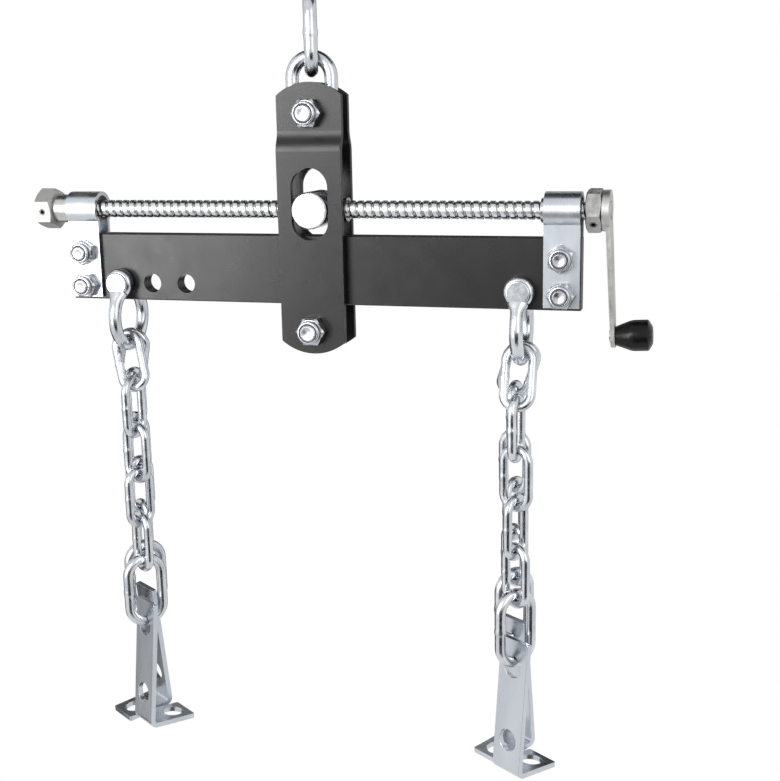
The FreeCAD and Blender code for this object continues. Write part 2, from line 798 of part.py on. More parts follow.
def knob_pin(name):
    """Headed pin from the arm's inner face into the knob."""
    head = "sizes.knob_pin_head_diameter / 2"
    shank = "sizes.knob_pin_diameter / 2"
    length = (
        "sizes.crank_arm_thickness + sizes.knob_side_gap"
        " + sizes.knob_bore_depth - sizes.knob_pin_end_gap"
    )
    profile = [
        ("0", "-sizes.knob_pin_head_height"),
        (head, "-sizes.knob_pin_head_height"),
        (head, "0"),
        (shank, "0"),
        (shank, length),
        ("0", length),
    ]
    inner_face = knob_seat - knob_out * v.crank_arm_thickness
    node(turned(name, profile), FreeCAD.Placement(inner_face, knob_rotation))


def crank_knob(name):
    """Moulded knob: thin neck at the arm, full body, crowned end, blind bore."""
    full = "sizes.knob_diameter / 2"
    neck = "sizes.knob_neck_diameter / 2"
    bore = "sizes.knob_pin_diameter / 2 + sizes.running_gap"
    crown = "sizes.knob_crown_diameter / 2"
    shoulder = "sizes.knob_length - sizes.knob_crown_height"
    profile = [
        ("0", "sizes.knob_bore_depth"),
        (bore, "sizes.knob_bore_depth"),
        (bore, "0"),
        (neck, "0"),
        (full, "sizes.knob_taper_length"),
        (full, shoulder),
        (crown, "sizes.knob_length"),
        ("0", "sizes.knob_length"),
    ]
    body = turned(name, profile)

    def rim(height):
        def at_rim(edge):
            ring = edge.BoundBox
            wide = ring.XLength > v.knob_neck_diameter
            return wide and ring.ZLength < v.seat_gap and abs(ring.ZMin - height) < v.seat_gap
        return at_rim

    rounded(body, "taper_round", "sizes.knob_taper_round", rim(v.knob_taper_length))
    rounded(body, "crown_round", "sizes.knob_crown_round", rim(v.knob_length - v.knob_crown_height))
    node(body, FreeCAD.Placement(knob_seat + knob_out * v.knob_side_gap, knob_rotation))


screw_rod("screw_rod")
pinned_hex("left_end_nut", "left", "sizes.end_nut_length", end_nut_x, v.left_hex_turn)
tube(
    "left_collar",
    "sizes.collar_diameter",
    ON_SCREW,
    "sizes.collar_length",
    place(x=collar_x, z=screw_z, rotation=ALONG_X),
)
tube(
    "thrust_washer",
    "sizes.washer_diameter",
    ON_SCREW,
    "sizes.washer_thickness",
    place(x=washer_x, z=screw_z, rotation=ALONG_X),
)
pinned_hex("crank_hub_nut", "right", "sizes.hub_length", hub_x, v.right_hex_turn)
roll_pins()
crank_arm("crank_arm")
knob_pin("knob_pin")
crank_knob("crank_knob")


# Shackles


SHACKLE_EYE_Y = "sizes.bar_thickness / 2 + sizes.shackle_eye_gap + sizes.shackle_eye_length / 2"
eye_y = value_of(SHACKLE_EYE_Y)
eye_to_bow = math.hypot(eye_y, v.pin_to_bow)
leg_angle = math.atan2(v.pin_to_bow, eye_y) - math.acos(v.bow_radius / eye_to_bow)
LEG_LENGTH = f"sqrt(({SHACKLE_EYE_Y})^2 + sizes.pin_to_bow^2 - sizes.bow_radius^2)"
XY_TO_YZ = FreeCAD.Rotation(FreeCAD.Vector(1, 1, 1), 120)


def shackle(name, placement):
    """Bow in the YZ plane, about its pin: round bow, two tangent legs, two eyes."""
    start = 180 - math.degrees(leg_angle)
    at_bow = place(z=-v.pin_to_bow, rotation=XY_TO_YZ * FreeCAD.Rotation(Z, start))
    bow = bound(
        "Part::Torus", name + "_bow", at_bow, Radius1="sizes.bow_radius", Radius2="sizes.shackle_wire / 2"
    )
    bow.Angle3 = 180 + 2 * math.degrees(leg_angle)
    pieces = [bow]
    radius = "sizes.shackle_eye_diameter / 2"
    chamfer = "sizes.shackle_eye_chamfer"
    length = "sizes.shackle_eye_length"
    profile = [
        ("0", "0"),
        (f"{radius} - {chamfer}", "0"),
        (radius, chamfer),
        (radius, f"{length} - {chamfer}"),
        (f"{radius} - {chamfer}", length),
        ("0", length),
    ]
    for face, sign in FACES:
        eye_middle = FreeCAD.Vector(0, sign * eye_y, 0)
        tangent = FreeCAD.Vector(
            0,
            sign * v.bow_radius * math.cos(leg_angle),
            v.bow_radius * math.sin(leg_angle) - v.pin_to_bow,
        )
        along = FreeCAD.Rotation(Z, eye_middle - tangent)
        at_tangent = FreeCAD.Placement(tangent, along)
        pieces.append(cylinder(f"{name}_{face}_leg", "sizes.shackle_wire", LEG_LENGTH, at_tangent))
        eye = turned(f"{name}_{face}_eye", profile)
        eye.Placement = place(y=sign * eye_y - v.shackle_eye_length / 2, rotation=ALONG_Y)
        pieces.append(eye)
    hole = "sizes.shackle_pin_diameter + 2 * sizes.running_gap"
    hole_length = f"2 * ({SHACKLE_EYE_Y} + sizes.shackle_eye_length)"
    at_front = place(y=-value_of(hole_length) / 2, rotation=ALONG_Y)
    cutters = [cylinder(name + "_hole", hole, hole_length, at_front)]
    head_room = "sizes.shackle_pin_head_diameter + 2 * sizes.running_gap"
    for face, sign in FACES:
        outwards = FreeCAD.Rotation(Z, Y * sign)
        outer_face = place(y=sign * (eye_y + v.shackle_eye_length / 2), rotation=outwards)
        cutters.append(cylinder(f"{name}_{face}_spot_face", head_room, "sizes.shackle_wire", outer_face))
    node(cut(name, fuse(name + "_blank", *pieces), *cutters), placement)


def shackle_pin(name, placement):
    """Pin with a low head outside each eye."""
    half = f"{SHACKLE_EYE_Y} + sizes.shackle_eye_length / 2"
    end = f"{half} + sizes.shackle_pin_head_height"
    head = "sizes.shackle_pin_head_diameter / 2"
    shank = "sizes.shackle_pin_diameter / 2"
    chamfer = "sizes.shackle_pin_chamfer"
    upper = [
        (shank, half),
        (head, half),
        (head, f"{end} - {chamfer}"),
        (f"{head} - {chamfer}", end),
        ("0", end),
    ]
    lower = [(across, f"-({up})") for across, up in reversed(upper)]
    node(turned(name, lower + upper), placement)


def shackle_place(sign):
    return place(x=bar_x + sign * pin_reach, z=pin_z)


for side, sign in SIDES:
    shackle(f"shackle_{side}", shackle_place(sign))
    upright = FreeCAD.Placement(shackle_place(sign).Base, ALONG_Y)
    shackle_pin(f"shackle_pin_{side}", upright)


# Chains and brackets


chain_pitch = v.chain_inner_length + v.chain_wire
first_top = v.bow_radius - v.shackle_wire / 2 - v.seat_gap - v.chain_wire / 2
link_bend = (v.chain_inner_width + v.chain_wire) / 2
first_swing = first_top + chain_pitch - v.bow_radius - link_bend


def first_lean(side, face):
    """Sideways and outward angles of a chain's first link."""
    sideways = math.asin(value_of(f"sizes.{side}_{face}_chain_shift") / first_swing)
    reach = v.bow_radius + first_swing * math.cos(sideways) + link_bend
    outwards = math.asin(value_of(f"sizes.{side}_chain_spacing") / 2 / reach)
    return sideways, outwards


def chain(side, face, x, sign):
    """Links down from the bow: the first leans out and sideways past its neighbour, the rest hang.
    Gives the last seat."""
    name = f"chain_{side}_{face}"
    sideways, outwards = first_lean(side, face)
    down = FreeCAD.Vector(0, sign * math.sin(outwards), -math.cos(outwards))
    hang = FreeCAD.Vector(x, 0, bow_z) + down * v.bow_radius
    turned = FreeCAD.Rotation(Y, -math.degrees(sideways))
    leaning = FreeCAD.Rotation(X, sign * math.degrees(outwards)) * turned
    along = leaning.multVec(-Z)
    first_middle = hang + along * (first_top + chain_pitch / 2 - v.bow_radius)
    link(f"{name}_1", *CHAIN_LINK, FreeCAD.Placement(first_middle, leaning))
    seat = hang + along * first_swing + down * link_bend
    wire_above = v.chain_wire
    for i in range(1, LINKS_PER_CHAIN):
        sizes = END_LINK if i == LINKS_PER_CHAIN - 1 else CHAIN_LINK
        wire, inner_length, inner_width = [value_of(size) for size in sizes]
        top = seat + Z * ((wire_above + wire) / 2 + v.seat_gap)
        middle = top - Z * ((inner_length + wire) / 2)
        yaw = FreeCAD.Rotation(Z, i * (90 + v.chain_twist))
        link(f"{name}_{i + 1}", *sizes, FreeCAD.Placement(middle, yaw))
        seat = top - Z * (inner_length + wire)
        wire_above = wire
    return seat


def bracket(name, seat, yaw):
    """L bracket hung in the last link, its foot's weight tipping it: upright plate, foot along its
    own X, three holes."""
    thickness = "sizes.bracket_thickness"
    height = "sizes.bracket_height"
    foot = "sizes.bracket_foot"
    width = "sizes.bracket_width"
    section = [
        ("0", "0"),
        (foot, "0"),
        (foot, thickness),
        (thickness, thickness),
        (thickness, height),
        ("0", height),
    ]
    body = padded(name + "_blank", "XZ_Plane", section, width)

    def bend(x, z):
        def at_bend(edge):
            middle = edge.CenterOfMass
            return abs(middle.x - x) < v.seat_gap and abs(middle.z - z) < v.seat_gap
        return at_bend

    def at_corner(edge):
        box_of = edge.BoundBox
        across = abs(abs(box_of.YMin) - v.bracket_width / 2) < v.seat_gap and box_of.YLength < v.seat_gap
        at_top = box_of.ZMin > v.bracket_height - v.seat_gap
        at_toe = box_of.XMin > v.bracket_foot - v.seat_gap
        return across and (at_top or at_toe)

    rounded(body, "inner_bend", "sizes.bracket_bend_radius", bend(v.bracket_thickness, v.bracket_thickness))
    rounded(body, "outer_bend", f"sizes.bracket_bend_radius + {thickness}", bend(0, 0))
    rounded(body, "corners", "sizes.bracket_corner_round", at_corner)
    link_hole_z = v.bracket_height - v.bracket_link_hole_drop
    plate_holes = (
        ("link", "sizes.bracket_link_hole", link_hole_z),
        ("plate", "sizes.bracket_plate_hole", v.bracket_plate_hole_height),
    )
    holes = [
        cylinder(f"{name}_{hole}_hole", diameter, thickness, place(z=z, rotation=ALONG_X))
        for hole, diameter, z in plate_holes
    ]
    at_foot = place(x=v.bracket_foot_hole_reach)
    holes.append(cylinder(name + "_foot_hole", "sizes.bracket_foot_hole", thickness, at_foot))
    hole_top = seat + Z * (v.end_link_wire / 2 + v.bracket_hang_gap)
    hole_top_z = link_hole_z + v.bracket_link_hole / 2
    turn = FreeCAD.Rotation(Z, yaw) * FreeCAD.Rotation(Y, v.bracket_lean)
    corner = hole_top - turn.multVec(FreeCAD.Vector(v.bracket_thickness / 2, 0, hole_top_z))
    node(cut(name, body, *holes), FreeCAD.Placement(corner, turn))


for side, sign in SIDES:
    for face, towards in FACES:
        last_seat = chain(side, face, bar_x + sign * pin_reach, towards)
        facing = v.bracket_yaw if face == "front" else v.bracket_yaw + 180
        bracket(f"bracket_{side}_{face}", last_seat, facing)


# Check every object, then write each piece


doc.recompute()
faults = [obj.Name for obj in doc.Objects if "Invalid" in obj.State or "Error" in obj.State]
faults += [obj.Name for obj in nodes if obj.Shape.isNull() or not obj.Shape.isValid()]
if faults:
    raise RuntimeError("failed objects: " + ", ".join(faults))
os.makedirs("parts", exist_ok=True)
for obj in nodes:
    obj.Shape.exportStep(f"parts/{obj.Label}.step")
print(len(nodes), "pieces,", sum(len(obj.Shape.Solids) for obj in nodes), "solids")
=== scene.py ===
import json
import math

import bmesh
import bpy
from mathutils import Matrix, Vector

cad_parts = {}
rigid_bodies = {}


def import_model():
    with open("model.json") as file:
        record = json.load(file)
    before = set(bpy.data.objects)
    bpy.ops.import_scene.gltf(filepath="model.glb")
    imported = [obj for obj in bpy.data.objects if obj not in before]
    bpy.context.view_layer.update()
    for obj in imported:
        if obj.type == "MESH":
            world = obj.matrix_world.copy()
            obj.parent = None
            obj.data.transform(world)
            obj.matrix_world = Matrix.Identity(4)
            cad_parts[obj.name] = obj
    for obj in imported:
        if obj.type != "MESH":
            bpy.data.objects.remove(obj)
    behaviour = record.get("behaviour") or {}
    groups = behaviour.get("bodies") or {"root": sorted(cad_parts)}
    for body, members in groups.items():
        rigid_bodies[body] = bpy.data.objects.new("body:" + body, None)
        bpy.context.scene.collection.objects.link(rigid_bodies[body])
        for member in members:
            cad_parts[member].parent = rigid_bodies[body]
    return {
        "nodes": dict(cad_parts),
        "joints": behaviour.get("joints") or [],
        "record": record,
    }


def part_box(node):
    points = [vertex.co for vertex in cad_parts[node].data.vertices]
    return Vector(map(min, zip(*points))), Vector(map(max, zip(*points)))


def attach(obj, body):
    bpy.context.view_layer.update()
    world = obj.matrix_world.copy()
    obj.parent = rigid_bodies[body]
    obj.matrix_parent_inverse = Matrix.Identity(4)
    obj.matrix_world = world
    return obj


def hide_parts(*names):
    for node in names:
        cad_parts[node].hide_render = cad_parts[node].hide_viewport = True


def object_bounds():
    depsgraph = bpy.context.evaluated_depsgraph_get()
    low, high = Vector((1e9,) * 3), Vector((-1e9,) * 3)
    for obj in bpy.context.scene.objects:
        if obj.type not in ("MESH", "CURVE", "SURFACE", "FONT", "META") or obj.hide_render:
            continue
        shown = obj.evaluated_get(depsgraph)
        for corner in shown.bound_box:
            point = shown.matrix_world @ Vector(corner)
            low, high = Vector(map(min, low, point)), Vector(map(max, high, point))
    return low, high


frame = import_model()
cad_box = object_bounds()

# Lengths are in metres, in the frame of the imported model: X along the bar, Y to the rear, Z up.
MM = 0.001
NODE_BODY = {
    node: body for body, nodes in frame["record"]["behaviour"]["bodies"].items() for node in nodes
}
NODE_SLOT = {row["node"]: row["material_slot"] for row in frame["record"]["subparts"]}
SIDES = ("left", "right")
FACES = ("front", "rear")
ACROSS = Vector((1, 0, 0))
TO_FRONT = Vector((0, -1, 0))
UP = Vector((0, 0, 1))

HOOK_LINK = {"wire": 9.5 * MM, "inner_length": 40.4 * MM, "inner_width": 19.7 * MM}
CHAIN_LINK = {"wire": 6.5 * MM, "inner_length": 36.5 * MM, "inner_width": 13 * MM}
END_LINK = {"wire": 8 * MM, "inner_length": 44.5 * MM, "inner_width": 19 * MM}
UPPER_LINK_TURN = math.radians(110)
LINKS_PER_CHAIN = 6
THREAD_PITCH = 6 * MM
THREAD_DEPTH = 0.9 * MM
GROOVE_REACH = 0.23
GROOVE_SLOPE = 0.13
# Painted shade in the thread's grooves: its colour, and the shares of the thread depth where it is full and
# where it starts.
GROOVE_SHADE_COLOUR = (0.36, 0.36, 0.37)
GROOVE_DARK = 0.6
GROOVE_PALE = 0.1
HANGER_BOLT = {"diameter": 12 * MM, "head": 7.5 * MM}
STRAP_BOLT = {"diameter": 10 * MM, "head": 6.4 * MM}
THREAD_GAP = 0.05 * MM
NUT_HEX_SHARE = 0.66
NUT_COLLAR_SHARE = 0.9
HEX_FACE_SHARE = 0.95
CHAMFER_SLOPE = math.tan(math.radians(30))
SHACKLE_WIRE = 9.5 * MM
BOW_RADIUS = 22 * MM
PIN_TO_BOW = 26.5 * MM
EYE_DIAMETER = 21.5 * MM
EYE_BORE = 14.2 * MM
EYE_LENGTH = 9.4 * MM
EYE_ROUND = 3.2 * MM
PIN_HEAD_HEIGHT = 2 * MM
HANGER_BEND_ROUND = 3.4 * MM
HANGER_BEND_ANGLES = (math.radians(15), math.radians(45))
HANGER_EDGE = 1.0 * MM
PIN_EDGE = 0.7 * MM
BOLT_EDGE = 0.15 * MM
NUT_EDGE = 0.2 * MM
BRACKET_EDGE = 0.5 * MM
KNOB_EDGE = 0.5 * MM
MERGE_DISTANCE = 0.002 * MM
FLAT_ANGLE = math.radians(0.6)


# Materials

# Paler patches on edges where the rounded normal leaves the true one: partly wear, partly a painted
# highlight.
EDGE_WEAR_AND_HIGHLIGHT_REACH = 0.9 * MM
EDGE_WEAR_AND_HIGHLIGHT_AGREEMENT = (0.985, 0.86)
EDGE_WEAR_AND_HIGHLIGHT_PATCHES = 140
EDGE_WEAR_AND_HIGHLIGHT_PATCH_SPAN = (0.52, 0.66)
NOISE_SPAN = (0.3, 0.7)
BLOTCHES_PER_CLOUD = 3.7


def link_nodes(tree, source, output, target, socket):
    """Link one node's output to another's socket."""
    tree.links.new(source.outputs[output], target.inputs[socket])


def add_node(tree, kind, **values):
    """A new node with some of its sockets set."""
    made = tree.nodes.new(kind)
    for socket, value in values.items():
        made.inputs[socket].default_value = value
    return made


def noise(tree, scale, detail=3.0, stretch=None):
    """Noise over the piece's own coordinates, drawn out along an axis where asked."""
    coordinates = tree.nodes.new("ShaderNodeTexCoord")
    texture = add_node(tree, "ShaderNodeTexNoise", Scale=scale, Detail=detail)
    if stretch is None:
        link_nodes(tree, coordinates, "Object", texture, "Vector")
    else:
        mapping = add_node(tree, "ShaderNodeMapping", Scale=stretch)
        link_nodes(tree, coordinates, "Object", mapping, "Vector")
        link_nodes(tree, mapping, "Vector", texture, "Vector")
    return texture


def ramp(tree, source, stops):
    """Colours between stops of (position, colour) along a noise."""
    made = tree.nodes.new("ShaderNodeValToRGB")
    elements = made.color_ramp.elements
    while len(elements) < len(stops):
        elements.new(0.5)
    for element, (position, colour) in zip(elements, stops):
        element.position = position
        element.color = (*colour, 1)
    link_nodes(tree, source, "Fac", made, "Fac")
    return made


def spread(tree, source, output, from_range, to_range):
    """A value's range mapped to another."""
    made = add_node(tree, "ShaderNodeMapRange")
    for socket, value in zip(("From Min", "From Max", "To Min", "To Max"), (*from_range, *to_range)):
        made.inputs[socket].default_value = value
    link_nodes(tree, source, output, made, "Value")
    return made


def wear_and_highlight_mask(tree):
    """One on sharp outer edges and zero on open faces, broken up by a noise."""
    bevel = add_node(tree, "ShaderNodeBevel", Radius=EDGE_WEAR_AND_HIGHLIGHT_REACH)
    geometry = tree.nodes.new("ShaderNodeNewGeometry")
    agreement = tree.nodes.new("ShaderNodeVectorMath")
    agreement.operation = "DOT_PRODUCT"
    link_nodes(tree, bevel, "Normal", agreement, 0)
    link_nodes(tree, geometry, "Normal", agreement, 1)
    edge = spread(tree, agreement, "Value", EDGE_WEAR_AND_HIGHLIGHT_AGREEMENT, (0, 1))
    patch = spread(tree, noise(tree, EDGE_WEAR_AND_HIGHLIGHT_PATCHES, 4.0), "Fac", EDGE_WEAR_AND_HIGHLIGHT_PATCH_SPAN, (0, 1))
    both = tree.nodes.new("ShaderNodeMath")
    both.operation = "MULTIPLY"
    link_nodes(tree, edge, "Result", both, 0)
    link_nodes(tree, patch, "Result", both, 1)
    return both


def two_tone(dark, pale):
    """Stops of a ramp between two colours."""
    return list(zip(NOISE_SPAN, (dark, pale)))


def finish_of(
    name, colours, roughness, cloud, grain, bump, metallic=1.0, stretch=None, specular=0.5, edge_wear_and_highlight=None
):
    """A surface with cloudy colour and roughness, a fine bump and, where asked, paler edges that are partly
    wear and partly a painted highlight.

    colours are the ramp's stops, cloud and grain the noise scales per metre, bump its height in metres.
    """
    material = bpy.data.materials.new(name)
    material.use_nodes = True
    tree = material.node_tree
    shader = tree.nodes["Principled BSDF"]
    shader.inputs["Metallic"].default_value = metallic
    shader.inputs["Specular IOR Level"].default_value = specular
    colour = ramp(tree, noise(tree, cloud, 4.0, stretch), colours)
    # Paler edges: partly wear, partly a painted highlight.
    if edge_wear_and_highlight is not None:
        mix = add_node(tree, "ShaderNodeMixRGB", Color2=(*edge_wear_and_highlight, 1))
        link_nodes(tree, wear_and_highlight_mask(tree), "Value", mix, "Fac")
        link_nodes(tree, colour, "Color", mix, "Color1")
        colour = mix
    link_nodes(tree, colour, "Color", shader, "Base Color")
    blotches = noise(tree, cloud * BLOTCHES_PER_CLOUD, 3.0, stretch)
    link_nodes(tree, spread(tree, blotches, "Fac", NOISE_SPAN, roughness), "Result", shader, "Roughness")
    relief = add_node(tree, "ShaderNodeBump", Strength=1.0, Distance=bump)
    link_nodes(tree, noise(tree, grain, 2.0, stretch), "Fac", relief, "Height")
    link_nodes(tree, relief, "Normal", shader, "Normal")
    return material


# The black paint's paler edges are partly wear and partly a painted highlight of the rounded edges.
POWDER = finish_of(
    "black_powder_coat", two_tone((0.008, 0.0077, 0.0078), (0.014, 0.0134, 0.0136)),
    roughness=(0.27, 0.33), cloud=22, grain=900, bump=0.04 * MM,
    metallic=0.0, specular=0.38, edge_wear_and_highlight=(0.10, 0.10, 0.10),
)
BRIGHT_ZINC = finish_of(
    "bright_zinc_wire", two_tone((0.48, 0.51, 0.55), (0.68, 0.70, 0.725)),
    roughness=(0.17, 0.30), cloud=70, grain=500, bump=0.04 * MM,
)
ZINC_SHEET = finish_of(
    "zinc_sheet", two_tone((0.48, 0.515, 0.56), (0.62, 0.65, 0.69)),
    roughness=(0.25, 0.34), cloud=30, grain=700, bump=0.018 * MM, stretch=(1, 1, 0.25),
)
ZINC_FASTENER = finish_of(
    "zinc_fastener", two_tone((0.42, 0.435, 0.46), (0.57, 0.58, 0.60)),
    roughness=(0.24, 0.36), cloud=120, grain=900, bump=0.04 * MM,
)
SCREW_STEEL = finish_of(
    "screw_steel", two_tone((0.44, 0.45, 0.475), (0.63, 0.64, 0.655)),
    roughness=(0.16, 0.32), cloud=80, grain=900, bump=0.05 * MM,
)
CRANK_METAL = finish_of(
    "worn_nickel", [(0.26, (0.28, 0.28, 0.272)), (0.45, (0.43, 0.43, 0.42)), (0.7, (0.60, 0.60, 0.59))],
    roughness=(0.18, 0.34), cloud=60, grain=420, bump=0.06 * MM,
)
ARM_METAL = finish_of(
    "satin_nickel", two_tone((0.44, 0.437, 0.427), (0.58, 0.576, 0.565)),
    roughness=(0.38, 0.50), cloud=60, grain=420, bump=0.05 * MM,
)
NUT_METAL = finish_of(
    "dull_nickel", two_tone((0.45, 0.447, 0.44), (0.58, 0.576, 0.568)),
    roughness=(0.52, 0.60), cloud=60, grain=420, bump=0.04 * MM,
)
THREAD_STEEL = finish_of(
    "thread_steel", two_tone((0.57, 0.58, 0.61), (0.76, 0.77, 0.79)),
    roughness=(0.18, 0.32), cloud=80, grain=900, bump=0.04 * MM,
)
SPRING_STEEL = finish_of(
    "spring_steel", two_tone((0.10, 0.10, 0.11), (0.20, 0.20, 0.21)),
    roughness=(0.30, 0.45), cloud=150, grain=900, bump=0.04 * MM,
)
BRONZE = finish_of(
    "oiled_bronze", two_tone((0.12, 0.095, 0.07), (0.22, 0.18, 0.13)),
    roughness=(0.25, 0.40), cloud=90, grain=800, bump=0.04 * MM,
)
KNOB_PLASTIC = finish_of(
    "black_plastic", two_tone((0.004, 0.004, 0.004), (0.007, 0.0067, 0.0067)),
    roughness=(0.20, 0.30), cloud=60, grain=700, bump=0.03 * MM, metallic=0.0, specular=0.18,
)
NYLON = finish_of(
    "nylon_ring", two_tone((0.05, 0.055, 0.09), (0.10, 0.105, 0.16)),
    roughness=(0.40, 0.55), cloud=200, grain=900, bump=0.03 * MM, metallic=0.0,
)
SLOT_MATERIAL = {
    "black_paint": POWDER,
    "bright_zinc": BRIGHT_ZINC,
    "zinc_sheet": ZINC_SHEET,
    "zinc_fastener": ZINC_FASTENER,
    "screw_steel": SCREW_STEEL,
    "crank_metal": CRANK_METAL,
    "bush_bronze": BRONZE,
    "knob_plastic": KNOB_PLASTIC,
}


def painted_groove_shade(material, axis, root, crest, groove_shade_colour):
    """Painted shade in a thread along X: the colour darkens from the crest radius down to the root."""
    tree = material.node_tree
    shader = tree.nodes["Principled BSDF"]
    coordinates = tree.nodes.new("ShaderNodeTexCoord")
    from_axis = tree.nodes.new("ShaderNodeVectorMath")
    from_axis.operation = "SUBTRACT"
    from_axis.inputs[1].default_value = axis
    link_nodes(tree, coordinates, "Object", from_axis, 0)
    flat = tree.nodes.new("ShaderNodeVectorMath")
    flat.operation = "MULTIPLY"
    flat.inputs[1].default_value = (0, 1, 1)
    link_nodes(tree, from_axis, "Vector", flat, 0)
    radius = tree.nodes.new("ShaderNodeVectorMath")
    radius.operation = "LENGTH"
    link_nodes(tree, flat, "Vector", radius, 0)
    mix = add_node(tree, "ShaderNodeMixRGB", Color2=(*groove_shade_colour, 1))
    link_nodes(tree, spread(tree, radius, "Value", (crest, root), (0, 1)), "Result", mix, "Fac")
    tree.links.new(shader.inputs["Base Color"].links[0].from_socket, mix.inputs["Color1"])
    link_nodes(tree, mix, "Color", shader, "Base Color")


# Mesh helpers


def piece(name, mesh, material, node, smooth=30):
    """A finished object in the given material that rides on its node's body."""
    for polygon in mesh.polygons:
        polygon.use_smooth = True
    mesh.set_sharp_from_angle(angle=math.radians(smooth))
    obj = bpy.data.objects.new(name, mesh)
    obj.data.materials.append(material)
    bpy.context.scene.collection.objects.link(obj)
    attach(obj, NODE_BODY[node])
    return obj


def in_place_of(node, mesh, smooth=30, material=None):
    """A finished object shown in place of the node, in the slot's material unless another is given."""
    made = piece(f"{node}_dressed", mesh, material or SLOT_MATERIAL[NODE_SLOT[node]], node, smooth)
    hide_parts(node)
    return made


def mesh_from(name, bm):
    """A mesh from a finished bmesh, with its faces turned outwards."""
    bmesh.ops.recalc_face_normals(bm, faces=bm.faces)
    mesh = bpy.data.meshes.new(name)
    bm.to_mesh(mesh)
    bm.free()
    return mesh


def softened(obj, width, segments=3, angle=35):
    """Round the sharp edges, as plating and paint leave them."""
    bevel = obj.modifiers.new("soft_edges", "BEVEL")
    bevel.width = width
    bevel.segments = segments
    bevel.limit_method = "ANGLE"
    bevel.angle_limit = math.radians(angle)
    bevel.harden_normals = True
    return obj


def clean_copy(node):
    """The node's surface with its flat faces whole again."""
    bm = bmesh.new()
    bm.from_mesh(frame["nodes"][node].data)
    bmesh.ops.remove_doubles(bm, verts=bm.verts, dist=MERGE_DISTANCE)
    bmesh.ops.dissolve_limit(bm, angle_limit=FLAT_ANGLE, verts=bm.verts, edges=bm.edges)
    return bm


def dressed(node, edge, smooth=30, material=None):
    """The node's own shape with rounded edges."""
    return softened(in_place_of(node, mesh_from(node, clean_copy(node)), smooth, material), edge)


def loose_boxes(node):
    """Low and high corners of each separate solid in a node."""
    bm = bmesh.new()
    bm.from_mesh(frame["nodes"][node].data)
    bmesh.ops.remove_doubles(bm, verts=bm.verts, dist=MERGE_DISTANCE)
    waiting = set(bm.verts)
    boxes = []
    while waiting:
        front = [waiting.pop()]
        found = []
        while front:
            vertex = front.pop()
            found.append(vertex.co.copy())
            near = {edge.other_vert(vertex) for edge in vertex.link_edges} & waiting
            waiting -= near
            front += near
        low = Vector([min(place[i] for place in found) for i in range(3)])
        high = Vector([max(place[i] for place in found) for i in range(3)])
        boxes.append((low, high))
    bm.free()
    return boxes


def bridge_rings(bm, rings, closed=False):
    """Quads between rings of vertices."""
    pairs = list(zip(rings, rings[1:]))
    if closed:
        pairs.append((rings[-1], rings[0]))
    for lower, upper in pairs:
        count = len(lower)
        for i in range(count):
            bm.faces.new((lower[i], lower[(i + 1) % count], upper[(i + 1) % count], upper[i]))


def basis(origin, x_axis, z_axis):
    """Placement whose local X and Z follow two directions."""
    z_unit = Vector(z_axis).normalized()
    y_unit = z_unit.cross(Vector(x_axis)).normalized()
    x_unit = y_unit.cross(z_unit)
    rotation = Matrix((x_unit, y_unit, z_unit)).transposed().to_4x4()
    return Matrix.Translation(Vector(origin)) @ rotation


def arc(centre, radius, start, stop, steps=6):
    """Profile points round a centre, with angles in degrees from the radius direction."""
    turns = [math.radians(start + (stop - start) * i / steps) for i in range(steps + 1)]
    return [(centre[0] + radius * math.cos(turn), centre[1] + radius * math.sin(turn)) for turn in turns]


def hex_reach(flats, angle):
    """Distance from a hexagon's axis to its side, with a corner at angle zero."""
    return flats / 2 / math.cos(angle % (math.pi / 3) - math.pi / 6)


def lathe(bm, profile, placement, flats=None, closed=False, sides=72):
    """Turn a profile of (radius, height) about Z, trimmed to a hexagon where asked."""
    rings = []
    for radius, height in profile:
        ring = []
        for k in range(sides):
            angle = 2 * math.pi * k / sides
            reach = radius if flats is None else min(radius, hex_reach(flats, angle))
            spot = Vector((reach * math.cos(angle), reach * math.sin(angle), height))
            ring.append(bm.verts.new(placement @ spot))
        rings.append(ring)
    bridge_rings(bm, rings, closed)
    if not closed:
        bm.faces.new(rings[0])
        bm.faces.new(rings[-1])


def tube(bm, stations, sides=32, closed=False):
    """Skin over oval rings of (centre, first half axis, second half axis)."""
    rings = []
    for centre, first, second in stations:
        turns = [2 * math.pi * k / sides for k in range(sides)]
        rings.append([bm.verts.new(centre + first * math.cos(t) + second * math.sin(t)) for t in turns])
    bridge_rings(bm, rings, closed)
    if not closed:
        bm.faces.new(rings[0])
        bm.faces.new(rings[-1])


# Links


def link_mesh(name, wire, inner_length, inner_width, placement):
    """Welded link from its lower wire's centre: a round tube on a stadium path, with a weld on one leg."""
    bend = (inner_width + wire) / 2
    straight = inner_length - inner_width
    arc_steps = 28
    leg_steps = 18
    weld_reach = 0.28 * wire
    weld_height = 0.055 * wire
    path = []
    for half in (0, 1):
        sign = 1 - 2 * half
        for i in range(arc_steps):
            turn = math.pi * (half + i / arc_steps)
            path.append((bend * math.cos(turn), sign * straight / 2 + bend * math.sin(turn), turn))
        for i in range(leg_steps):
            path.append((-sign * bend, sign * straight * (0.5 - i / leg_steps), math.pi * (1 - half)))
    middle = bend + straight / 2
    turned = placement.to_3x3()
    stations = []
    for across, up, turn in path:
        on_weld_leg = across < 0 and abs(up) < straight / 2
        swell = weld_height * math.exp(-((up / weld_reach) ** 2)) if on_weld_leg else 0.0
        radius = wire / 2 + swell
        outwards = turned @ Vector((math.cos(turn), 0, math.sin(turn)))
        sideways = turned @ Vector((0, 1, 0))
        stations.append((placement @ Vector((across, 0, up + middle)), outwards * radius, sideways * radius))
    bm = bmesh.new()
    tube(bm, stations, sides=28, closed=True)
    return mesh_from(name, bm)


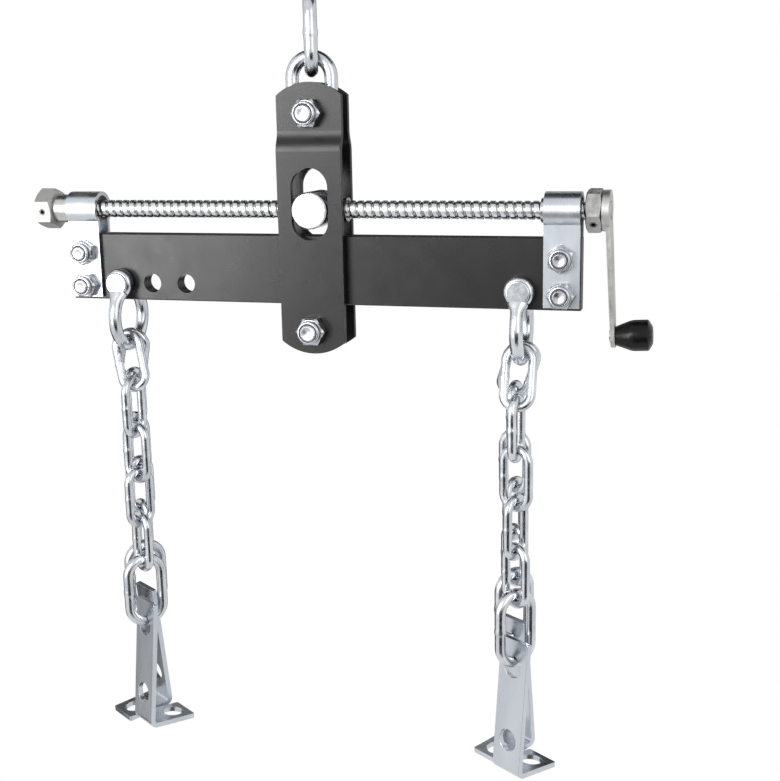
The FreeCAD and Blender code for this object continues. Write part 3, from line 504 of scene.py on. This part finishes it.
def dressed_link(node, size):
    """Link built between the joint that it hangs by and the joint that hangs in it."""
    body = NODE_BODY[node]
    own = next(joint for joint in frame["joints"] if joint["child"] == body)
    below = next(joint for joint in frame["joints"] if joint["parent"] == body)
    hang = Vector(own["pos_m"])
    low = Vector(below["pos_m"])
    across = Vector(below["axis"])
    drop = low - hang
    down = (drop - across * drop.dot(across)).normalized()
    bend = (size["inner_width"] + size["wire"]) / 2
    bend_centre = low - down * bend
    upwards = (hang - bend_centre).normalized()
    placement = basis(bend_centre - upwards * bend, across, upwards)
    in_place_of(node, link_mesh(node, placement=placement, **size))


def upright_link(node, size, across):
    """Hook link from its node's box, hanging straight down."""
    low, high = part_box(node)
    bottom = Vector(((low.x + high.x) / 2, (low.y + high.y) / 2, low.z + size["wire"] / 2))
    in_place_of(node, link_mesh(node, placement=basis(bottom, across, UP), **size))


upright_link("upper_link", HOOK_LINK, (math.cos(UPPER_LINK_TURN), math.sin(UPPER_LINK_TURN), 0))
upright_link("lifting_link", HOOK_LINK, ACROSS)
for side in SIDES:
    for face in FACES:
        for k in range(1, LINKS_PER_CHAIN + 1):
            dressed_link(f"chain_{side}_{face}_{k}", END_LINK if k == LINKS_PER_CHAIN else CHAIN_LINK)


# Shackles


def shackle_stations(eye_y):
    """Rings from the front eye down round the bow to the rear eye, about the pin."""
    reach = math.hypot(eye_y, PIN_TO_BOW)
    leg_angle = math.atan2(PIN_TO_BOW, eye_y) - math.acos(BOW_RADIUS / reach)
    leg_length = math.sqrt(reach**2 - BOW_RADIUS**2)
    leg_start = 0.78 * EYE_DIAMETER / 2
    flare = 0.55 * SHACKLE_WIRE / 2
    leg_steps = 20
    bow_steps = 64
    half = SHACKLE_WIRE / 2
    front_leg = []
    for i in range(leg_steps):
        along = leg_start + (leg_length - leg_start) * i / leg_steps
        outwards = Vector((0, -math.cos(leg_angle), math.sin(leg_angle)))
        down = Vector((0, -math.sin(leg_angle), -math.cos(leg_angle)))
        widened = half + flare * math.exp(-(((along - leg_start) / (0.9 * half)) ** 2))
        front_leg.append((Vector((0, -eye_y, 0)) + down * along, ACROSS * widened, outwards * half))
    bow = []
    for i in range(bow_steps + 1):
        turn = -leg_angle + (math.pi + 2 * leg_angle) * i / bow_steps
        outwards = Vector((0, -math.cos(turn), -math.sin(turn)))
        bow.append((Vector((0, 0, -PIN_TO_BOW)) + outwards * BOW_RADIUS, ACROSS * half, outwards * half))
    to_rear = Vector((1, -1, 1))
    rear_leg = [(centre * to_rear, first, second * to_rear) for centre, first, second in reversed(front_leg)]
    return front_leg + bow + rear_leg


def shackle_mesh(side):
    """Bow and legs of one skin, with a turned eye at each end."""
    low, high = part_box(f"shackle_pin_{side}")
    pin = (low + high) / 2
    eye_y = (high.y - low.y) / 2 - PIN_HEAD_HEIGHT - EYE_LENGTH / 2
    half = EYE_LENGTH / 2
    rim = EYE_DIAMETER / 2 - EYE_ROUND
    profile = [(EYE_BORE / 2, -half), *arc((rim, EYE_ROUND - half), EYE_ROUND, -90, 0)]
    profile += [*arc((rim, half - EYE_ROUND), EYE_ROUND, 0, 90), (EYE_BORE / 2, half)]
    bm = bmesh.new()
    tube(bm, [(pin + centre, first, second) for centre, first, second in shackle_stations(eye_y)])
    for sign in (-1, 1):
        lathe(bm, profile, basis(pin + Vector((0, sign * eye_y, 0)), ACROSS, TO_FRONT), closed=True)
    return mesh_from(f"shackle_{side}", bm)


for side in SIDES:
    in_place_of(f"shackle_{side}", shackle_mesh(side), smooth=40)
    dressed(f"shackle_pin_{side}", PIN_EDGE)


# Bolts and nuts, from the rear to the front


def hex_drop(flats):
    """Height of the turned chamfer on a hexagon's corners."""
    return (flats / math.sqrt(3) - HEX_FACE_SHARE * flats / 2) * CHAMFER_SLOPE


def bolt_profile(flats, diameter, head, length):
    """Chamfered head below the seat, shank above it, cupped end."""
    corner = flats / math.sqrt(3)
    radius = diameter / 2
    tip = diameter / 12
    return [
        (0.2 * flats, -head - 0.02 * flats),
        (HEX_FACE_SHARE * flats / 2, -head),
        (corner, hex_drop(flats) - head),
        (corner, 0),
        (radius, 0),
        (radius, length - tip),
        (radius - tip, length),
        (0.6 * radius, length - 0.1 * tip),
        (0.4 * radius, length - 0.5 * tip),
        (0.05 * radius, length - 0.8 * tip),
    ]


def nut_profile(flats, height, bore):
    """Chamfered hexagon, round collar with a rolled lip, and the pocket for its locking ring."""
    corner = flats / math.sqrt(3)
    face = HEX_FACE_SHARE * flats / 2
    hex_height = NUT_HEX_SHARE * height
    collar = NUT_COLLAR_SHARE * flats / 2
    lip = 0.6 * (collar - bore)
    pocket = bore + 0.35 * (collar - bore)
    return [
        (bore, 0),
        (face, 0),
        (corner, hex_drop(flats)),
        (corner, hex_height - hex_drop(flats)),
        (face, hex_height),
        (collar, hex_height),
        *arc((collar - lip, height - lip), lip, 0, 90),
        (pocket, height),
        (pocket, hex_height),
        (bore, hex_height),
    ]


def ring_profile(flats, height, bore):
    """Locking ring in the nut's pocket, a little below its lip."""
    collar = NUT_COLLAR_SHARE * flats / 2
    pocket = bore + 0.35 * (collar - bore)
    low = NUT_HEX_SHARE * height
    high = 0.96 * height
    return [(bore, low), (pocket, low), (pocket, high), ((bore + pocket) / 2, 0.98 * height), (bore, high)]


def fastening(bolts, nuts, diameter, head):
    """The bolts of one node and the nuts of another, with their locking rings."""
    bolt_bm = bmesh.new()
    for low, high in loose_boxes(bolts):
        seat = Vector(((low.x + high.x) / 2, high.y - head, (low.z + high.z) / 2))
        flats = high.z - low.z
        profile = bolt_profile(flats, diameter, head, seat.y - low.y)
        lathe(bolt_bm, profile, basis(seat, ACROSS, TO_FRONT), flats)
    nut_bm = bmesh.new()
    ring_bm = bmesh.new()
    bore = diameter / 2 + THREAD_GAP
    for low, high in loose_boxes(nuts):
        wide = high.x - low.x
        tall = high.z - low.z
        flats = min(wide, tall)
        seat = Vector(((low.x + high.x) / 2, high.y, (low.z + high.z) / 2))
        placement = basis(seat, ACROSS if wide > tall else UP, TO_FRONT)
        lathe(nut_bm, nut_profile(flats, high.y - low.y, bore), placement, flats, closed=True)
        lathe(ring_bm, ring_profile(flats, high.y - low.y, bore), placement, closed=True)
    softened(in_place_of(bolts, mesh_from(bolts, bolt_bm)), BOLT_EDGE, 2)
    softened(in_place_of(nuts, mesh_from(nuts, nut_bm)), NUT_EDGE, 2)
    piece(f"{nuts}_locking_ring", mesh_from(f"{nuts}_ring", ring_bm), NYLON, nuts)


fastening("hanger_top_bolt", "hanger_top_nut", **HANGER_BOLT)
fastening("hanger_bottom_bolt", "hanger_bottom_nut", **HANGER_BOLT)
fastening("strap_bolts", "strap_nuts", **STRAP_BOLT)


# Screw


def groove_depth(share):
    """Depth of the thread over one pitch as a share of its full depth: flat crest, narrow groove."""
    away = abs((share + 0.5) % 1 - 0.5)
    slope = min(max((GROOVE_REACH - away) / GROOVE_SLOPE, 0), 1)
    return slope * slope * (3 - 2 * slope)


def screw_mesh():
    """Right-hand thread from end to end of the rod."""
    low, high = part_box("screw_rod")
    middle = (low + high) / 2
    crest = (high.z - low.z) / 2
    sides = 40
    steps_per_pitch = 18
    steps = int((high.x - low.x) / THREAD_PITCH * steps_per_pitch)
    bm = bmesh.new()
    rings = []
    for i in range(steps + 1):
        x = low.x + (high.x - low.x) * i / steps
        ring = []
        for k in range(sides):
            turn = 2 * math.pi * k / sides
            radius = crest - THREAD_DEPTH * groove_depth(x / THREAD_PITCH - k / sides)
            spot = Vector((x, middle.y + radius * math.cos(turn), middle.z + radius * math.sin(turn)))
            ring.append(bm.verts.new(spot))
        rings.append(ring)
    bridge_rings(bm, rings)
    bm.faces.new(rings[0])
    bm.faces.new(rings[-1])
    return mesh_from("screw_rod", bm)


rod_low, rod_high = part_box("screw_rod")
rod_crest = (rod_high.z - rod_low.z) / 2
# Painted shade: the rod's colour darkens into the thread's grooves.
painted_groove_shade(
    THREAD_STEEL, axis=(rod_low + rod_high) / 2, root=rod_crest - GROOVE_DARK * THREAD_DEPTH,
    crest=rod_crest - GROOVE_PALE * THREAD_DEPTH, groove_shade_colour=GROOVE_SHADE_COLOUR,
)
in_place_of("screw_rod", screw_mesh(), smooth=50, material=THREAD_STEEL)


# Hanger plates


def along_bar(edge):
    """Whether an edge runs along X."""
    span = edge.verts[1].co - edge.verts[0].co
    return abs(span.x) > 0.999 * span.length


def hanger_plate(node):
    """The node's shape with its two bends rounded wide and its rim softened."""
    bm = clean_copy(node)
    bends = [
        edge for edge in bm.edges
        if along_bar(edge) and len(edge.link_faces) == 2
        and HANGER_BEND_ANGLES[0] < edge.calc_face_angle() < HANGER_BEND_ANGLES[1]
    ]
    bmesh.ops.bevel(bm, geom=bends, offset=HANGER_BEND_ROUND, segments=8, profile=0.5, affect="EDGES")
    made = softened(in_place_of(node, mesh_from(node, bm)), HANGER_EDGE)
    made.modifiers.new("even_shading", "WEIGHTED_NORMAL").keep_sharp = True


for face in FACES:
    hanger_plate(f"hanger_plate_{face}")


# Pieces that keep the node's shape, with softened edges


EDGES = {
    "beam_bar": 0.4,
    "strap_left": 0.5,
    "strap_right": 0.5,
    "trunnion_nut": 0.5,
    "left_collar": 0.6,
    "thrust_washer": 0.3,
    "left_end_nut": 1.0,
    "crank_hub_nut": 1.4,
    "crank_arm": 1.2,
}
SATIN_NODES = {"crank_arm": ARM_METAL, "left_end_nut": NUT_METAL}
for node, edge in EDGES.items():
    dressed(node, edge * MM, material=SATIN_NODES.get(node))
for side in SIDES:
    for face in FACES:
        dressed(f"bracket_{side}_{face}", BRACKET_EDGE)
dressed("crank_knob", KNOB_EDGE, smooth=50)
NODE_MATERIAL = {
    "support_roller": SCREW_STEEL,
    "screw_bushes": BRONZE,
    "roll_pins": SPRING_STEEL,
    "knob_pin": SCREW_STEEL,
}
for node, material in NODE_MATERIAL.items():
    frame["nodes"][node].data.materials.clear()
    frame["nodes"][node].data.materials.append(material)


# Camera


BAR_MIDDLE = sum(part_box("beam_bar"), Vector()) / 2
BAR_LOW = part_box("beam_bar")[0].z
PHOTO_WIDTH = 780
FOCAL_PIXELS = 1240.8
SENSOR_WIDTH = 36
CAMERA_FROM_BAR = Vector((308.86, -850.41, 133.88)) * MM
CAMERA_AZIMUTH = math.radians(16.575)
CAMERA_PITCH = math.radians(12.525)
CAMERA_ROLL = math.radians(-1.042)


def photo_camera():
    """Camera at the photograph's place, angle and focal length."""
    ahead = Vector((
        -math.sin(CAMERA_AZIMUTH) * math.cos(CAMERA_PITCH),
        math.cos(CAMERA_AZIMUTH) * math.cos(CAMERA_PITCH),
        -math.sin(CAMERA_PITCH),
    ))
    level_right = Vector((math.cos(CAMERA_AZIMUTH), math.sin(CAMERA_AZIMUTH), 0))
    level_up = level_right.cross(ahead)
    right = level_right * math.cos(CAMERA_ROLL) + level_up * math.sin(CAMERA_ROLL)
    up = right.cross(ahead)
    camera = bpy.data.objects.new("photo_camera", bpy.data.cameras.new("photo_camera"))
    camera.data.sensor_fit = "HORIZONTAL"
    camera.data.sensor_width = SENSOR_WIDTH
    camera.data.lens = FOCAL_PIXELS / PHOTO_WIDTH * SENSOR_WIDTH
    camera.data.clip_start = 0.01
    rotation = Matrix((right, up, -ahead)).transposed().to_4x4()
    place = Vector((BAR_MIDDLE.x, BAR_MIDDLE.y, BAR_LOW)) + CAMERA_FROM_BAR
    camera.matrix_world = Matrix.Translation(place) @ rotation
    bpy.context.scene.collection.objects.link(camera)
    bpy.context.scene.camera = camera


photo_camera()


# Stage


def white_to_view(tree, lit, kind):
    """White for what the camera and reflections see, the lit shader for the rest."""
    path = tree.nodes.new("ShaderNodeLightPath")
    seen = tree.nodes.new("ShaderNodeMath")
    seen.operation = "MAXIMUM"
    link_nodes(tree, path, "Is Camera Ray", seen, 0)
    mirrored = tree.nodes.new("ShaderNodeMath")
    mirrored.operation = "MAXIMUM"
    link_nodes(tree, path, "Is Glossy Ray", mirrored, 0)
    link_nodes(tree, path, "Is Transmission Ray", mirrored, 1)
    link_nodes(tree, mirrored, "Value", seen, 1)
    white = add_node(tree, kind, Color=(1, 1, 1, 1), Strength=1.0)
    mix = tree.nodes.new("ShaderNodeMixShader")
    link_nodes(tree, seen, "Value", mix, 0)
    tree.links.new(lit.outputs[0], mix.inputs[1])
    tree.links.new(white.outputs[0], mix.inputs[2])
    return mix


def white_world(strength):
    """White surroundings that light the object less than they show."""
    world = bpy.data.worlds.new("studio")
    world.use_nodes = True
    tree = world.node_tree
    lit = tree.nodes["Background"]
    lit.inputs["Color"].default_value = (1, 1, 1, 1)
    lit.inputs["Strength"].default_value = strength
    mix = white_to_view(tree, lit, "ShaderNodeBackground")
    link_nodes(tree, mix, "Shader", tree.nodes["World Output"], "Surface")
    bpy.context.scene.world = world


def plain(name, colour, roughness):
    """Even colour for the floor and the cards."""
    material = bpy.data.materials.new(name)
    material.use_nodes = True
    shader = material.node_tree.nodes["Principled BSDF"]
    shader.inputs["Base Color"].default_value = (*colour, 1)
    shader.inputs["Roughness"].default_value = roughness
    return material


def staged(name, vertices, faces, material):
    """Mesh that belongs to the stage."""
    mesh = bpy.data.meshes.new(name)
    mesh.from_pydata(vertices, [], faces)
    mesh.materials.append(material)
    card = bpy.data.objects.new(name, mesh)
    bpy.context.scene.collection.objects.link(card)
    return card


def white_floor(height, reach):
    """Pale square floor well below the object."""
    material = plain("pale_floor", (0.86, 0.86, 0.86), 0.9)
    tree = material.node_tree
    mix = white_to_view(tree, tree.nodes["Principled BSDF"], "ShaderNodeEmission")
    link_nodes(tree, mix, "Shader", tree.nodes["Material Output"], "Surface")
    corners = [(x * reach, y * reach, height) for x, y in ((-1, -1), (1, -1), (1, 1), (-1, 1))]
    staged("floor", corners, [(0, 1, 2, 3)], material)


def round_object(azimuth, radius, height):
    """Place round the object, with the azimuth in degrees from straight in front towards the left."""
    turn = math.radians(azimuth)
    return Vector((-radius * math.sin(turn), -radius * math.cos(turn), height))


def mirrored_only(card):
    """Leave a card to reflections alone."""
    card.visible_camera = False
    card.visible_diffuse = False
    card.visible_shadow = False


def dark_card(name, azimuths, heights, radius, material):
    """Curved studio card that only shows as a dark band in bright metal."""
    steps = 24
    vertices = []
    for i in range(steps + 1):
        azimuth = azimuths[0] + (azimuths[1] - azimuths[0]) * i / steps
        vertices += [round_object(azimuth, radius, height) for height in heights]
    faces = [(2 * i, 2 * i + 1, 2 * i + 3, 2 * i + 2) for i in range(steps)]
    mirrored_only(staged(name, vertices, faces, material))


def overhead_card(name, across, depth, height, material):
    """Level studio card above the object that only shows in bright metal."""
    corners = [(x, y, height) for x, y in zip((*across, *across[::-1]), (depth[0],) * 2 + (depth[1],) * 2)]
    mirrored_only(staged(name, corners, [(0, 1, 2, 3)], material))


def lamp(name, middle, size, power, mirrored=True):
    """Soft rectangular lamp that looks at the object's middle."""
    light = bpy.data.lights.new(name, "AREA")
    light.shape = "RECTANGLE"
    light.size, light.size_y = size
    light.energy = power
    obj = bpy.data.objects.new(name, light)
    facing = (OBJECT_MIDDLE - middle).to_track_quat("-Z", "Y").to_matrix().to_4x4()
    obj.matrix_world = Matrix.Translation(middle) @ facing
    obj.visible_glossy = mirrored
    bpy.context.scene.collection.objects.link(obj)


OBJECT_MIDDLE = (cad_box[0] + cad_box[1]) / 2
FLOOR_DROP = 0.9
FLOOR_REACH = 4
WORLD_STRENGTH = 0.45
white_floor(cad_box[0].z - FLOOR_DROP, FLOOR_REACH)
white_world(WORLD_STRENGTH)
card_black = plain("dark_card", (0.02, 0.02, 0.022), 0.9)
dark_card("front_card", azimuths=(-55, 4), heights=(-1.4, -0.38), radius=1.3, material=card_black)
dark_card("left_edge_card", azimuths=(91, 146), heights=(-1.4, -0.5), radius=1.3, material=card_black)
dark_card("right_edge_card", azimuths=(175, 200), heights=(-1.4, 0.3), radius=1.3, material=card_black)
dark_card("high_rear_card", azimuths=(120, 200), heights=(-0.15, 0.7), radius=1.5, material=card_black)
overhead_card("overhead_card", across=(-1.3, 1.3), depth=(-0.15, 1.3), height=1.0, material=card_black)
lamp("key", round_object(35, 1.3, -0.13), size=(0.42, 0.75), power=9)
lamp("top", round_object(18, 1.3, 0.21), size=(0.55, 0.6), power=7.5)
lamp("fill", round_object(-50, 1.4, 0.2), size=(0.8, 1.2), power=3.5)
lamp("back", round_object(170, 1.2, 0.8), size=(1.4, 0.8), power=7, mirrored=False)

bpy.context.scene.view_settings.view_transform = "Standard"
